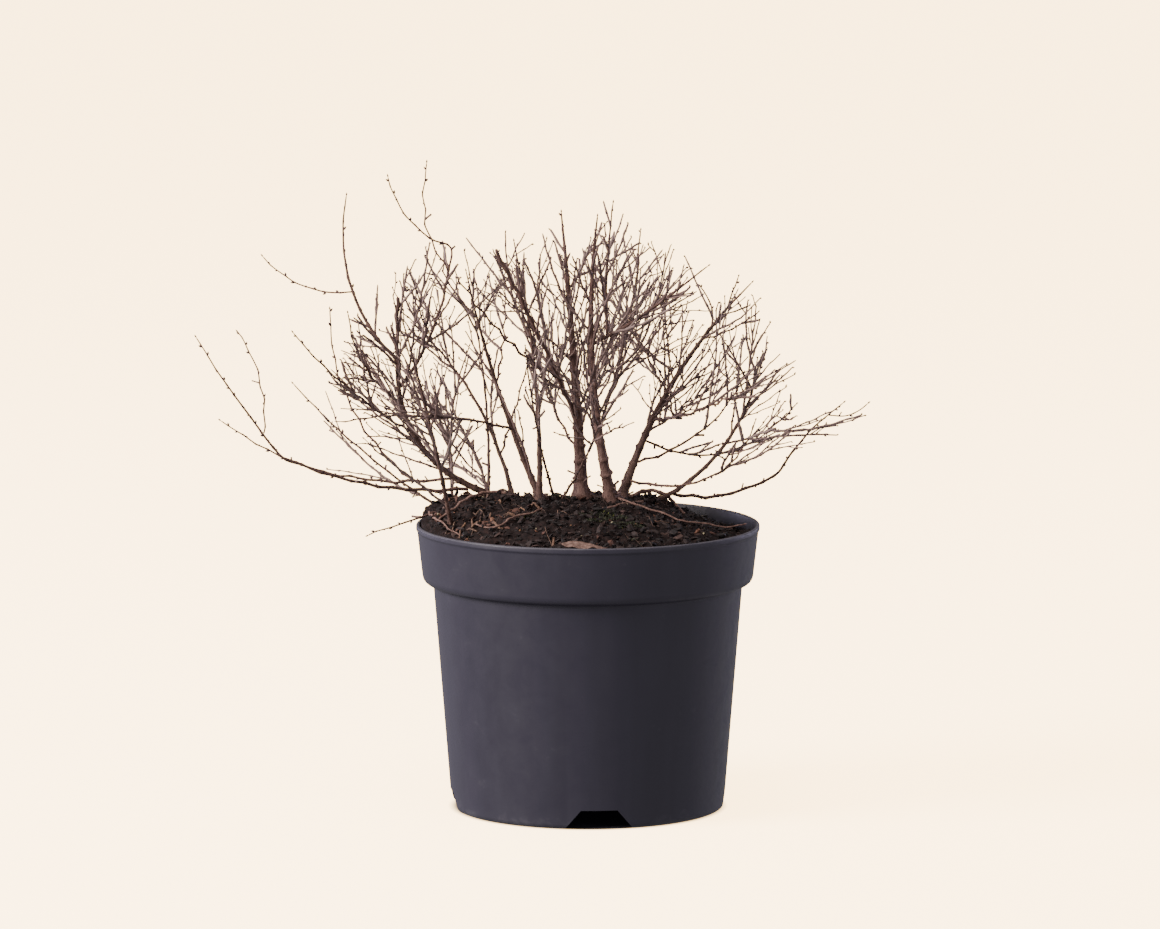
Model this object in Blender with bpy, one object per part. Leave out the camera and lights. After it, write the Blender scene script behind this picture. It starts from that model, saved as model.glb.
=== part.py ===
"""A leafless spirea shrub in a five-litre nursery pot.

Metres, +Z up. The origin is the middle of the pot's foot, on the ground, and the shrub is seen from -Y, with
+X to the right. The pot is a thin moulded tub with a wide rim band and four drain notches in its foot. It is
filled with a mounded root ball of potting bark, and the bare stems stand on that.
"""

import math
from collections import namedtuple

import bmesh
import bpy
from mathutils import Vector

MM = 0.001

# The pot, in millimetres
RIM_RADIUS = 110.3
POT_HEIGHT = 183.0
BAND_DEPTH = 38.5
BAND_STEP = 8.2
SHOULDER_RADIUS = 99.0
FOOT_RADIUS = 88.0
WALL = 1.8
FLOOR_TOP = 15.0
FLOOR_THICKNESS = 2.0
FOOT_RING_WIDTH = 6.0
FOOT_RING_THICKNESS = 2.5
CENTRE_FOOT_RADIUS = 12.0
CENTRE_FOOT_SPREAD = 6.0
SIDES = 40

# Drain notches and holes, in millimetres and degrees
NOTCHES = 4
FRONT_NOTCH_AZIMUTH = -85.3
NOTCH_FOOT_WIDTH = 44.0
NOTCH_TOP_WIDTH = 23.2
NOTCH_HEIGHT = 12.4
DRAIN_HOLE_RADIUS = 6.0
DRAIN_HOLE_CIRCLE = 66.0

# The root ball, in millimetres
BALL_GAP = 0.4
BALL_EDGE_HEIGHT = 174.0
MOUND_RISE = 27.0
MOUND_CENTRE = (-17.0, 2.0)
MOUND_RADIUS = 114.0
MOUND_RINGS = 7

# Wood, in millimetres
SEAT = 0.3
TIP_GIRTH = 0.9
TAPER_POWER = 0.85
ROOT_FLARE = 0.55
FLARE_HEIGHT = 4.0
BUD_POINT = 0.6

WOOD_SIDES = 6
STOUT_SIDES = 8
STOUT_GIRTH = 3.0
FEWEST_RINGS = 4
MOST_CHORD_ERROR = 0.2

Limb = namedtuple("Limb", "name springs_from share reach depth height bow swing girth")

# Stems that stand on the root ball. springs_from is the foot's place (x, y) on it. reach, depth and height
# place the tip from the pot's foot. bow is how far the middle bends to the limb's right, seen from the front
# as it runs from root to tip, and swing how far it bends away from the viewer. girth is its thickness at the
# root.
STEMS = (
    Limb("trunk_middle", (-4, 5), 0, -17, 12, 382, 1, 0, 7.4),
    Limb("trunk_right", (15, 2), 0, 6, -22, 383, -8, -4, 6.4),
    Limb("stem_right", (22, 20), 0, 105, 28, 335, -10, 3, 6.0),
    Limb("stem_left_inner", (-31, -5), 0, -47, -12, 366, 5, 0, 3.6),
    Limb("stem_left_middle", (-32, 12), 0, -78, 22, 343, -4, 3, 4.4),
    Limb("stem_left_outer", (-58, 26), 0, -122, 2, 287, -20, 0, 5.0),
    Limb("stem_left_front", (-87, -35), 0, -117, -104, 331, 2, -7, 3.2),
    Limb("stem_left_rear", (-86, 22), 0, -77, 92, 286, -7, 8, 2.3),
    Limb("stem_left_rim", (-93, 30), 0, -190, 48, 267, -5, 4, 2.0),
    Limb("stem_forked", (-49, 34), 0, -114, 75, 303, 10, 4, 3.2),
    Limb("stem_upright", (-64, 14), 0, -75, 48, 320, 4, 0, 2.4),
    Limb("stem_arched_rear", (-64, 38), 0, -104, 128, 248, 7, 10, 2.1),
    Limb("stem_slender_front", (-22, -4), 0, -39, -126, 313, -2, -6, 1.9),
    Limb("stem_crossing", (-16, -10), 0, 12, -110, 276, 2, -6, 1.9),
    Limb("stem_right_arch", (42, 24), 0, 105, 16, 266, 10, 0, 3.4),
)

# Boughs. springs_from names the limb that carries this one, and share is how far up that limb it leaves.
# A share of 1 carries the limb on past the end, where a long stem bends and is made in two pieces.
BOUGHS = (
    Limb("bough_left_top", "stem_left_outer", 1, -154, 10, 393, -14, 0, 2.8),
    Limb("bough_left_stub", "stem_left_outer", 0.93, -121, -14, 330, 0, 0, 2.0),
    Limb("bough_left_out", "bough_left_top", 0.46, -208, 18, 353, -8, 0, 1.4),
    Limb("bough_left_low", "stem_left_outer", 0.60, -186, -56, 313, -4, -4, 2.1),
    Limb("bough_left_mid", "stem_left_outer", 0.78, -152, -36, 323, -8, 0, 2.0),
    Limb("bough_left_inward", "stem_left_outer", 0.86, -87, 2, 360, 7, -3, 2.6),
    Limb("shoot_top_left", "bough_left_inward", 1, -127, -10, 407, -8, 0, 1.4),
    Limb("shoot_top", "bough_left_inward", 0.85, -103, 20, 413, -8, 0, 1.4),
    Limb("arch_low", "stem_left_outer", 0.12, -194, -30, 230, -8, -4, 2.8),
    Limb("arch_low_tip", "arch_low", 1, -248, -40, 308, -2, 0, 1.9),
    Limb("arch_low_fork", "arch_low_tip", 0.20, -223, -12, 308, 6, 4, 1.3),
    Limb("arch_high", "stem_left_outer", 0.24, -236, 26, 246, -17, 6, 2.4),
    Limb("arch_upswept", "arch_low", 0.24, -166, 42, 316, -18, 8, 1.9),
    Limb("runner_left", "stem_left_outer", 0.05, -140, -32, 180, 0, 0, 2.2),
    Limb("bough_forked_right", "stem_forked", 0.20, -39, 112, 274, 1, 5, 1.8),
    Limb("bough_level_left", "stem_left_middle", 0.30, -100, -76, 263, 1.5, -4, 1.7),
    Limb("bough_rear_left", "stem_left_middle", 0.50, -54, 100, 321, 2, 5, 1.7),
    Limb("bough_middle_left", "trunk_middle", 0.26, -58, -42, 364, 1, -3, 3.6),
    Limb("bough_long_left", "bough_middle_left", 0.25, -83, -98, 357, -6, -5, 2.2),
    Limb("bough_inner_left", "stem_left_inner", 0.57, -60, 26, 354, 0, 2, 1.8),
    Limb("bough_low_left", "trunk_middle", 0.15, -35, 74, 291, -5, 7, 1.9),
    Limb("bough_middle_rear", "trunk_middle", 0.22, 18, 118, 298, 1, 8, 2.1),
    Limb("bough_middle_high", "trunk_middle", 0.72, 12, 52, 371, 0, 3, 1.7),
    Limb("bough_upright", "trunk_right", 0.25, 34, 62, 365, 5, 5, 2.6),
    Limb("bough_right_long", "trunk_right", 0.55, 76, -44, 354, 2, -3, 3.0),
    Limb("bough_centre", "bough_right_long", 0.13, 16, -6, 390, -2, 0, 2.6),
    Limb("bough_right_rear", "stem_right", 0.45, 25, 120, 311, -2.5, 8, 1.9),
    Limb("bough_right_inner", "stem_right", 0.50, 49, 74, 317, -1, 4, 1.6),
    Limb("bough_right_high", "stem_right", 0.76, 72, 62, 329, 3.5, 2, 1.5),
    Limb("bough_right_crest", "stem_right", 0.86, 96, 2, 342, 0, 0, 1.3),
    Limb("bough_right_outer", "stem_right", 0.70, 108, -30, 323, 2, -2, 1.6),
    Limb("bough_spread_front", "stem_right", 0.32, 100, -112, 286, 3, -6, 2.3),
    Limb("bough_spread_rear", "stem_right", 0.27, 90, 104, 267, 3, 8, 1.9),
    Limb("bough_curved", "stem_right", 0.14, 96, -16, 273, 9, 0, 2.1),
    Limb("bough_drooping", "stem_right", 0.24, 123, 66, 231, 12, 4, 1.9),
    Limb("bough_level_right", "stem_right", 0.07, 105, -98, 263, 20, -8, 2.1),
    Limb("arch_right_hook", "stem_right_arch", 1, 85, 14, 302, 1, 0, 1.9),
    Limb("arch_right_claw", "stem_right_arch", 0.90, 115, 44, 289, 0, 2, 1.6),
    Limb("arch_right_inner", "stem_right_arch", 0.66, 97, 80, 269, 1, 4, 1.6),
    Limb("arch_right_outer", "stem_right_arch", 0.62, 132, -44, 266, 5, -2, 1.8),
    Limb("spread_low", "stem_right_arch", 0.13, 122, 52, 208, 8, 4, 2.6),
    Limb("spread_low_end", "spread_low", 1, 165, 54, 254, -3, 0, 2.0),
    Limb("spread_low_tip", "spread_low_end", 0.80, 181, 58, 253, 4, 0, 1.1),
)


def soil_height(x, y):
    """Height of the root ball's top at a point in plan, in millimetres."""
    centre_x, centre_y = MOUND_CENTRE
    away = ((x - centre_x) ** 2 + (y - centre_y) ** 2) / MOUND_RADIUS**2
    return BALL_EDGE_HEIGHT + MOUND_RISE * max(0.0, 1 - away)


def material(name, colour, roughness):
    """A Principled BSDF with a plain colour; nothing on this object is metal."""
    made = bpy.data.materials.new(name)
    made.use_nodes = True
    shader = made.node_tree.nodes["Principled BSDF"]
    shader.inputs["Base Color"].default_value = (*colour, 1)
    shader.inputs["Roughness"].default_value = roughness
    shader.inputs["Metallic"].default_value = 0
    return made


def add_object(name, mesh_data, finish):
    """Turns a bmesh in millimetres into a named object in metres."""
    bmesh.ops.recalc_face_normals(mesh_data, faces=mesh_data.faces)
    bmesh.ops.scale(mesh_data, vec=(MM, MM, MM), verts=mesh_data.verts)
    mesh = bpy.data.meshes.new(name)
    mesh_data.to_mesh(mesh)
    mesh_data.free()
    mesh.materials.append(finish)
    mesh.shade_smooth()
    mesh.set_sharp_from_angle(angle=math.radians(40))
    made = bpy.data.objects.new(name, mesh)
    bpy.context.scene.collection.objects.link(made)
    return made


def ring_of(mesh_data, points):
    return [mesh_data.verts.new(point) for point in points]


def bridge(mesh_data, first, second):
    """Joins two rings of the same count with quads."""
    count = len(first)
    for i in range(count):
        j = (i + 1) % count
        mesh_data.faces.new((first[i], first[j], second[j], second[i]))


def fan(mesh_data, ring, centre):
    """Closes a ring with triangles round a point."""
    for i, corner in enumerate(ring):
        mesh_data.faces.new((corner, ring[(i + 1) % len(ring)], centre))


def circle(radius, z):
    angles = (2 * math.pi * (i + 0.5) / SIDES for i in range(SIDES))
    return [Vector((radius * math.cos(a), radius * math.sin(a), z)) for a in angles]


def lathe(profile):
    """A solid turned from (radius, height) points that start and end on the axis."""
    made = bmesh.new()
    rings = [ring_of(made, circle(radius, z)) for radius, z in profile[1:-1]]
    for first, second in zip(rings, rings[1:]):
        bridge(made, first, second)
    fan(made, rings[0], made.verts.new((0, 0, profile[0][1])))
    fan(made, rings[-1], made.verts.new((0, 0, profile[-1][1])))
    return made


def inner_profile(gap):
    """The pot's inside from floor to rim, as (radius, height), drawn in by a gap."""
    band_foot = POT_HEIGHT - BAND_DEPTH
    inset = WALL + gap
    return [
        (CENTRE_FOOT_RADIUS - inset, FLOOR_THICKNESS + gap),
        (CENTRE_FOOT_RADIUS - inset + CENTRE_FOOT_SPREAD, FLOOR_TOP + gap),
        (FOOT_RADIUS - inset - 2.2, FLOOR_TOP + gap),
        (FOOT_RADIUS - inset + 0.8, FLOOR_TOP + gap + 3),
        (SHOULDER_RADIUS - inset - 0.1, band_foot - 1),
        (SHOULDER_RADIUS - inset + 3, band_foot + 2.5),
        (SHOULDER_RADIUS + BAND_STEP - inset - 1, band_foot + 4.5),
        (SHOULDER_RADIUS + BAND_STEP - inset, band_foot + 7.5),
        (RIM_RADIUS - inset - 0.6, POT_HEIGHT - 7),
    ]


def notch_cutter(azimuth):
    """A radial wedge, wide at the ground, that opens the foot for drainage."""
    cutter = bmesh.new()
    turn = math.radians(azimuth)
    out = Vector((math.cos(turn), math.sin(turn), 0))
    across = Vector((-out.y, out.x, 0))
    spread = (NOTCH_FOOT_WIDTH - NOTCH_TOP_WIDTH) / 2 / NOTCH_HEIGHT
    below = -2.0
    foot_half = NOTCH_TOP_WIDTH / 2 + spread * (NOTCH_HEIGHT - below)
    outline = [(-foot_half, below), (foot_half, below)]
    outline += [(NOTCH_TOP_WIDTH / 2, NOTCH_HEIGHT), (-NOTCH_TOP_WIDTH / 2, NOTCH_HEIGHT)]
    ends = []
    for distance in (FOOT_RADIUS - 26, FOOT_RADIUS + 8):
        points = [out * distance + across * side + Vector((0, 0, z)) for side, z in outline]
        ends.append(ring_of(cutter, points))
    bridge(cutter, *ends)
    cutter.faces.new(ends[0])
    cutter.faces.new(ends[1])
    return cutter


def hole_cutter(azimuth):
    """A short round plug through the floor, just inside a notch."""
    cutter = bmesh.new()
    turn = math.radians(azimuth)
    centre = Vector((math.cos(turn), math.sin(turn), 0)) * DRAIN_HOLE_CIRCLE
    ends = []
    for z in (FLOOR_TOP - FLOOR_THICKNESS - 1.5, FLOOR_TOP + 1.5):
        steps = (2 * math.pi * i / 12 for i in range(12))
        points = [
            centre + Vector((math.cos(a), math.sin(a), 0)) * DRAIN_HOLE_RADIUS + Vector((0, 0, z))
            for a in steps
        ]
        ends.append(ring_of(cutter, points))
    bridge(cutter, *ends)
    cutter.faces.new(ends[0])
    cutter.faces.new(ends[1])
    return cutter


def build_pot(finish):
    """The moulded tub: a tapered wall that steps out into the rim band, over a raised floor.

    It stands on the notched ring under its wall and on a small foot that dips from the middle of the floor.
    """
    band_foot = POT_HEIGHT - BAND_DEPTH
    floor_under = FLOOR_TOP - FLOOR_THICKNESS
    outside = [
        (CENTRE_FOOT_RADIUS, 0),
        (CENTRE_FOOT_RADIUS + CENTRE_FOOT_SPREAD, floor_under),
        (FOOT_RADIUS - WALL - 0.6, floor_under),
        (FOOT_RADIUS - WALL - 1.0, FOOT_RING_THICKNESS),
        (FOOT_RADIUS - 3 - FOOT_RING_WIDTH, FOOT_RING_THICKNESS),
        (FOOT_RADIUS - 3 - FOOT_RING_WIDTH, 0),
        (FOOT_RADIUS - 3, 0),
        (FOOT_RADIUS - 0.9, 1.8),
        (FOOT_RADIUS, 6),
        (SHOULDER_RADIUS, band_foot - 1),
        (SHOULDER_RADIUS + 3, band_foot),
        (SHOULDER_RADIUS + BAND_STEP - 1.4, band_foot + 2.4),
        (SHOULDER_RADIUS + BAND_STEP, band_foot + 6.5),
        (RIM_RADIUS - 0.5, POT_HEIGHT - 3.5),
        (RIM_RADIUS, POT_HEIGHT - 1.2),
        (RIM_RADIUS - 0.6, POT_HEIGHT),
        (RIM_RADIUS - 2.2, POT_HEIGHT),
    ]
    profile = [(0, 0), *outside, *reversed(inner_profile(0)), (0, FLOOR_THICKNESS)]
    pot = add_object("pot", lathe(profile), finish)
    for i in range(NOTCHES):
        azimuth = FRONT_NOTCH_AZIMUTH + 360 * i / NOTCHES
        for kind, shape in (("notch", notch_cutter(azimuth)), ("hole", hole_cutter(azimuth))):
            cutter = add_object(f"{kind}_cutter_{i}", shape, finish)
            cutter.hide_render = True
            cutter.display_type = "WIRE"
            cut = pot.modifiers.new(cutter.name, "BOOLEAN")
            cut.operation = "DIFFERENCE"
            cut.solver = "EXACT"
            cut.object = cutter
    return pot


def build_root_ball(finish):
    """Potting bark held in the pot's shape, mounded round the stems and highest at the left."""
    sides = inner_profile(BALL_GAP)
    edge_radius = sides[-1][0]
    made = bmesh.new()
    rings = [ring_of(made, circle(radius, z)) for radius, z in sides[:-1]]
    for step in range(MOUND_RINGS, 0, -1):
        points = circle(edge_radius * step / MOUND_RINGS, 0)
        for point in points:
            point.z = soil_height(point.x, point.y)
        rings.append(ring_of(made, points))
    for first, second in zip(rings, rings[1:]):
        bridge(made, first, second)
    fan(made, rings[0], made.verts.new((0, 0, sides[0][1])))
    fan(made, rings[-1], made.verts.new((0, 0, soil_height(0, 0))))
    return add_object("root_ball", made, finish)


class Path:
    """A limb's middle line, bent once between its root and its tip, with its thickness along it."""

    def __init__(self, root, limb, carried_girth):
        self.root = root
        self.tip = Vector((limb.reach, limb.depth, limb.height))
        chord = self.tip - root
        right = Vector((chord.z, 0, -chord.x)).normalized()
        pull = right * limb.bow + Vector((0, 1, 0)) * limb.swing
        self.control = (root + self.tip) / 2 + pull * 2
        self.length = chord.length
        self.bend = math.hypot(limb.bow, limb.swing)
        self.flare = 0.0 if isinstance(limb.springs_from, str) else ROOT_FLARE
        self.root_radius = limb.girth / 2
        self.ends_in_bud = carried_girth is None
        self.tip_radius = (carried_girth or TIP_GIRTH) / 2

    def point(self, t):
        return self.root * (1 - t) ** 2 + self.control * 2 * t * (1 - t) + self.tip * t * t

    def heading(self, t):
        ahead = (self.control - self.root) * (1 - t) + (self.tip - self.control) * t
        return ahead.normalized()

    def radius(self, t):
        left = max(0.0, 1 - t) ** TAPER_POWER
        taper = self.tip_radius + (self.root_radius - self.tip_radius) * left
        return taper * (1 + self.flare * math.exp(-t * self.length / FLARE_HEIGHT))


def slide_off(offset, heading, along, reach):
    """How far a corner of a limb's foot slides out before it clears the round limb that carries it."""
    across = heading - along * heading.dot(along)
    start = offset - along * offset.dot(along)
    a = across.length_squared
    b = 2 * across.dot(start)
    c = start.length_squared - reach * reach
    inside = b * b - 4 * a * c
    return (-b + math.sqrt(inside)) / (2 * a) if inside > 0 else 0.0


def slide_to_soil(corner, heading):
    """How far a corner of a stem's foot slides along the stem to reach the root ball's top."""
    distance = 0.0
    for _ in range(12):
        at = corner + heading * distance
        distance += (soil_height(at.x, at.y) + SEAT - at.z) / max(heading.z, 0.35)
    return distance


def build_limb(limb, path, carrier, finish):
    """One tapering limb with a foot shaped to what carries it and a budded tip."""
    sides = STOUT_SIDES if limb.girth >= STOUT_GIRTH else WOOD_SIDES
    heading = path.heading(0)
    side_way = heading.cross(Vector((0, 1, 0.2))).normalized()
    other_way = heading.cross(side_way).normalized()

    def corners(radius):
        turns = (2 * math.pi * i / sides for i in range(sides))
        return [(side_way * math.cos(a) + other_way * math.sin(a)) * radius for a in turns]

    foot_radius = path.radius(0)
    if carrier is None:
        slides = [slide_to_soil(path.root + c, heading) for c in corners(foot_radius)]
        centre_slide = slide_to_soil(path.root, heading)
    elif limb.share == 1:
        along = carrier.heading(1)
        slides = [(SEAT - c.dot(along)) / heading.dot(along) for c in corners(foot_radius)]
        centre_slide = SEAT / heading.dot(along)
    else:
        reach = carrier.radius(limb.share) * 1.08 + SEAT
        along = carrier.heading(limb.share)
        slides = [slide_off(c, heading, along, reach) for c in corners(foot_radius)]
        centre_slide = slide_off(Vector((0, 0, 0)), heading, along, reach)
    made = bmesh.new()
    foot = [path.root + c + heading * s for c, s in zip(corners(foot_radius), slides)]
    rings = [ring_of(made, foot)]
    first_share = (max([*slides, 0.0]) + 1.2) / path.length
    stations = [first_share]
    if carrier is None:
        stations.append(first_share + FLARE_HEIGHT / path.length)
    count = max(FEWEST_RINGS, math.ceil(math.sqrt(path.bend / MOST_CHORD_ERROR)))
    last = stations[-1]
    stations += [last + (1 - last) * (i + 1) / count for i in range(count)]
    for t in stations:
        new_heading = path.heading(t)
        turn = heading.rotation_difference(new_heading)
        side_way.rotate(turn)
        other_way.rotate(turn)
        heading = new_heading
        rings.append(ring_of(made, [path.point(t) + c for c in corners(path.radius(t))]))
    for first, second in zip(rings, rings[1:]):
        bridge(made, first, second)
    fan(made, rings[0], made.verts.new(path.root + path.heading(0) * centre_slide))
    bud = BUD_POINT if path.ends_in_bud else 0.0
    fan(made, rings[-1], made.verts.new(path.tip + heading * bud))
    return add_object(limb.name, made, finish)


def carried_on():
    """The girth at which each split limb hands over to the piece that carries it on."""
    return {limb.springs_from: limb.girth for limb in BOUGHS if limb.share == 1}


def build_shrub(bark):
    """Every stem and bough, each carrier before what it carries."""
    end_girths = carried_on()
    paths = {}
    for limb in (*STEMS, *BOUGHS):
        if isinstance(limb.springs_from, str):
            carrier = paths[limb.springs_from]
            root = carrier.point(limb.share)
        else:
            carrier = None
            foot_x, foot_y = limb.springs_from
            root = Vector((foot_x, foot_y, soil_height(foot_x, foot_y)))
        paths[limb.name] = Path(root, limb, end_girths.get(limb.name))
        build_limb(limb, paths[limb.name], carrier, bark)


def main():
    for old in list(bpy.data.objects):
        bpy.data.objects.remove(old, do_unlink=True)
    build_pot(material("moulded_polypropylene", (0.035, 0.034, 0.045), 0.45))
    build_root_ball(material("potting_bark", (0.020, 0.012, 0.009), 0.95))
    build_shrub(material("spirea_bark", (0.075, 0.034, 0.027), 0.7))


main()
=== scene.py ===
import collections
import heapq
import math
import random

import bpy
import numpy as np
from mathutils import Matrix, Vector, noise


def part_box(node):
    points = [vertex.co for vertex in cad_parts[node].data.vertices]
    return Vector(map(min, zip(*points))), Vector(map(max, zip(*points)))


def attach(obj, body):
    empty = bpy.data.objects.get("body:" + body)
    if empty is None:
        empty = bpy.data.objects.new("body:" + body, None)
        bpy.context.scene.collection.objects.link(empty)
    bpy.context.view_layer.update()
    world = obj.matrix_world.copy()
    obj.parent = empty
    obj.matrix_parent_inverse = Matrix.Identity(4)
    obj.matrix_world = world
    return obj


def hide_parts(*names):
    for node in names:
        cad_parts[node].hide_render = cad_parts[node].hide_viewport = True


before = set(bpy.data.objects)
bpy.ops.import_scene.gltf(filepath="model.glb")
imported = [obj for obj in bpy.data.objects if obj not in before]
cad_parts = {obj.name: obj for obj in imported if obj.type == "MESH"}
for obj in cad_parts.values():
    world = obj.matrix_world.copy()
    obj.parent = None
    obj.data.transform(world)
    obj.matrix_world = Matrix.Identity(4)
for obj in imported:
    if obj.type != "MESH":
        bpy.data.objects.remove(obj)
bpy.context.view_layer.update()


# The camera: a long lens five metres off and a little above the shrub, so that it looks slightly down on the
# pot's rim. Nothing is out of focus.
CAMERA_PLACE = (0.0, -5.0, 0.92)
CAMERA_TILT = 7.957
CAMERA_TURN = 0.058
FOCAL_LENGTH = 245.09
SENSOR_WIDTH = 36.0
SIGHT_RANGE = 60

long_lens = bpy.data.cameras.new("long_lens")
long_lens.lens = FOCAL_LENGTH
long_lens.sensor_width = SENSOR_WIDTH
long_lens.clip_end = SIGHT_RANGE
camera = bpy.data.objects.new("camera", long_lens)
camera.location = CAMERA_PLACE
camera.rotation_euler = (math.radians(90 - CAMERA_TILT), 0, math.radians(CAMERA_TURN))
bpy.context.scene.collection.objects.link(camera)
bpy.context.scene.camera = camera


# The studio: a cream painted floor that curves up into a round wall, with a broad soft light from the left,
# a weak one from the right, one above, and a strip behind each side of the pot. The board glows, as a lit
# backdrop does, but not under the pot, and it doesn't tint the object. Under the pot it is painted a dark
# shade instead: a painted shadow, which shows through the pot's notches.
MM = 0.001
FLOOR_COLOUR = "#F7EBD6"
FLOOR_GLOW = "#FFD799"
FLOOR_GLOW_STRENGTH = 7.3
FLOOR_SHADE = "#3B3942"
# The painted shadow under the pot ends between these radii in millimetres. The other sizes are in metres.
PAINTED_SHADOW_SPOT = (84.0, 90.0)
FLOOR_RADIUS = 7.0
WALL_RADIUS = 9.5
WALL_HEIGHT = 8.0
COVE_STEPS = 12
COVE_SIDES = 96
SKY_COLOUR = "#F2EEF2"
SKY_STRENGTH = 0.42
# A light is its name, place, width, watts and colour.
SOFT_LIGHTS = (
    ("window_left", (-3.2, -1.4, 1.8), 1.8, 300, "#FFF8F6"),
    ("reflector_right", (2.9, -1.9, 1.0), 1.6, 16, "#F4F2FF"),
    ("panel_above", (-0.3, -0.7, 2.8), 1.2, 45, "#FFF6EE"),
    ("strip_left", (-1.9, 1.5, 0.5), 0.7, 16, "#E6DCFF"),
    ("strip_right", (1.9, 1.5, 0.5), 0.7, 16, "#E6DCFF"),
)
LIGHTS_AIM = np.array((0.0, 0.0, 0.18))


def linear(code):
    """Turns an sRGB hex colour into the linear one that a shader takes."""
    parts = [int(code[i : i + 2], 16) / 255 for i in (1, 3, 5)]
    return (*(p / 12.92 if p <= 0.04045 else ((p + 0.055) / 1.055) ** 2.4 for p in parts), 1)


def new_material(name, **values):
    """A material with its Principled BSDF, and the uniform values set on that shader's own sockets."""
    made = bpy.data.materials.new(name)
    made.use_nodes = True
    shader = made.node_tree.nodes["Principled BSDF"]
    for socket, value in values.items():
        shader.inputs[socket.replace("_", " ")].default_value = value
    return made


def add_node(material, kind, inputs=None, stops=None, **settings):
    """Adds a node with its settings, a ramp's stops, and a value or a link for each input that is named."""
    made = material.node_tree.nodes.new("ShaderNode" + kind)
    for name, value in settings.items():
        setattr(made, name, value)
    for i, (place, code) in enumerate(stops or ()):
        stop = made.color_ramp.elements[i] if i < 2 else made.color_ramp.elements.new(place)
        stop.position = place
        stop.color = linear(code)
    for name, value in (inputs or {}).items():
        if isinstance(value, bpy.types.NodeSocket):
            material.node_tree.links.new(value, made.inputs[name])
        else:
            made.inputs[name].default_value = value
    return made


def wire(material, **sources):
    """Links what is named to the sockets of a material's Principled BSDF."""
    shader = material.node_tree.nodes["Principled BSDF"]
    for socket, source in sources.items():
        material.node_tree.links.new(source, shader.inputs[socket.replace("_", " ")])


def add_piece(name, points, faces, materials, kinds=None, smooth=True):
    """A mesh object from points in millimetres; kinds gives each face's place in the list of materials."""
    mesh = bpy.data.meshes.new(name)
    mesh.from_pydata(np.asarray(points) * MM, [], faces)
    for material in materials:
        mesh.materials.append(material)
    if kinds is not None:
        mesh.polygons.foreach_set("material_index", np.asarray(kinds, np.int32))
    mesh.polygons.foreach_set("use_smooth", np.full(len(mesh.polygons), smooth))
    mesh.validate()
    piece = bpy.data.objects.new(name, mesh)
    bpy.context.scene.collection.objects.link(piece)
    return piece


def lathe(outline, sides):
    """Points and faces turned round the upright axis from (radius, height) points."""
    turns = np.arange(sides) * 2 * math.pi / sides
    points = [(r * math.cos(a), r * math.sin(a), z) for r, z in outline for a in turns]
    faces = []
    for row in range(len(outline) - 1):
        for i in range(sides):
            j = (i + 1) % sides
            low, high = row * sides, (row + 1) * sides
            faces.append((low + i, low + j, high + j, high + i))
    faces.append(tuple(range(sides))[::-1])
    faces.append(tuple(range((len(outline) - 1) * sides, len(outline) * sides)))
    return points, faces


painted_board = new_material(
    "painted_board", Roughness=1.0, Specular_IOR_Level=0.0, Emission_Color=linear(FLOOR_GLOW),
)
place = add_node(painted_board, "TexCoord").outputs["Object"]
from_middle = add_node(painted_board, "VectorMath", {0: place}, operation="LENGTH").outputs["Value"]
# Under the pot the board is painted a dark shade and doesn't glow: a painted shadow.
in_light = add_node(painted_board, "MapRange", {
    "Value": from_middle, "From Min": PAINTED_SHADOW_SPOT[0] * MM, "From Max": PAINTED_SHADOW_SPOT[1] * MM,
}).outputs["Result"]
glow = add_node(painted_board, "Math", {
    0: in_light, 1: FLOOR_GLOW_STRENGTH,
}, operation="MULTIPLY").outputs[0]
paint = add_node(painted_board, "Mix", {
    0: in_light, 6: linear(FLOOR_SHADE), 7: linear(FLOOR_COLOUR),
}, data_type="RGBA").outputs[2]
wire(painted_board, Emission_Strength=glow, Base_Color=paint)

curve = WALL_RADIUS - FLOOR_RADIUS
cove = [(0.01, 0.0), (FLOOR_RADIUS, 0.0)]
cove += [
    (FLOOR_RADIUS + curve * math.sin(a), curve * (1 - math.cos(a)))
    for a in np.linspace(0, math.pi / 2, COVE_STEPS)[1:]
]
cove.append((WALL_RADIUS, WALL_HEIGHT))
cove_points, cove_faces = lathe([(r / MM, z / MM) for r, z in cove], COVE_SIDES)
floor = add_piece("floor", cove_points, cove_faces[:-1], [painted_board])
floor.visible_diffuse = False
floor.visible_shadow = False
floor.visible_glossy = False

sky = bpy.data.worlds.new("studio_air")
sky.use_nodes = True
sky.node_tree.nodes["Background"].inputs["Color"].default_value = linear(SKY_COLOUR)
sky.node_tree.nodes["Background"].inputs["Strength"].default_value = SKY_STRENGTH
bpy.context.scene.world = sky

for name, place, size, power, colour in SOFT_LIGHTS:
    lamp = bpy.data.lights.new(name, "AREA")
    lamp.shape = "SQUARE"
    lamp.size = size
    lamp.energy = power
    lamp.color = linear(colour)[:3]
    light = bpy.data.objects.new(name, lamp)
    light.location = place
    away = np.array(place) - LIGHTS_AIM
    light.rotation_euler = (
        math.atan2(math.hypot(away[0], away[1]), away[2]), 0, math.atan2(away[1], away[0]) + math.pi / 2,
    )
    bpy.context.scene.collection.objects.link(light)


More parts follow.
